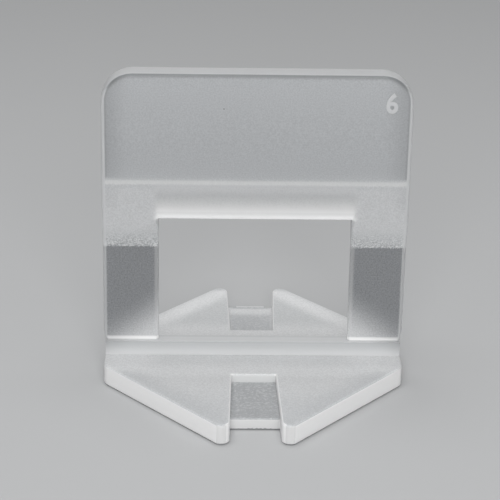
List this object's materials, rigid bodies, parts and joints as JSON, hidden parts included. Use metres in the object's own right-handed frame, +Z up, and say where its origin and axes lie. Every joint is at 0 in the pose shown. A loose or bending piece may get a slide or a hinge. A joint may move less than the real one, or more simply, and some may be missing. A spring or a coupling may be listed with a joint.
{
  "type": "tile levelling clip",
  "caption": "Moulded tile levelling clip: a notched lozenge base under the tiles, thin break-off legs, and a grip panel above a window for a wedge.",
  "frame": {"origin": "centre of the underside of the base, in the middle of the joint", "axes": "+X along the joint between the tiles, +Y across the joint, +Z up from the base to the grip panel"},
  "size_m": [0.05, 0.0534, 0.0529],
  "materials": {
    "natural_polypropylene": "milky, translucent natural polypropylene with a fine satin mould finish"
  },
  "bodies": {
    "root": {"levelling_clip": "natural_polypropylene"}
  },
  "joints": []
}
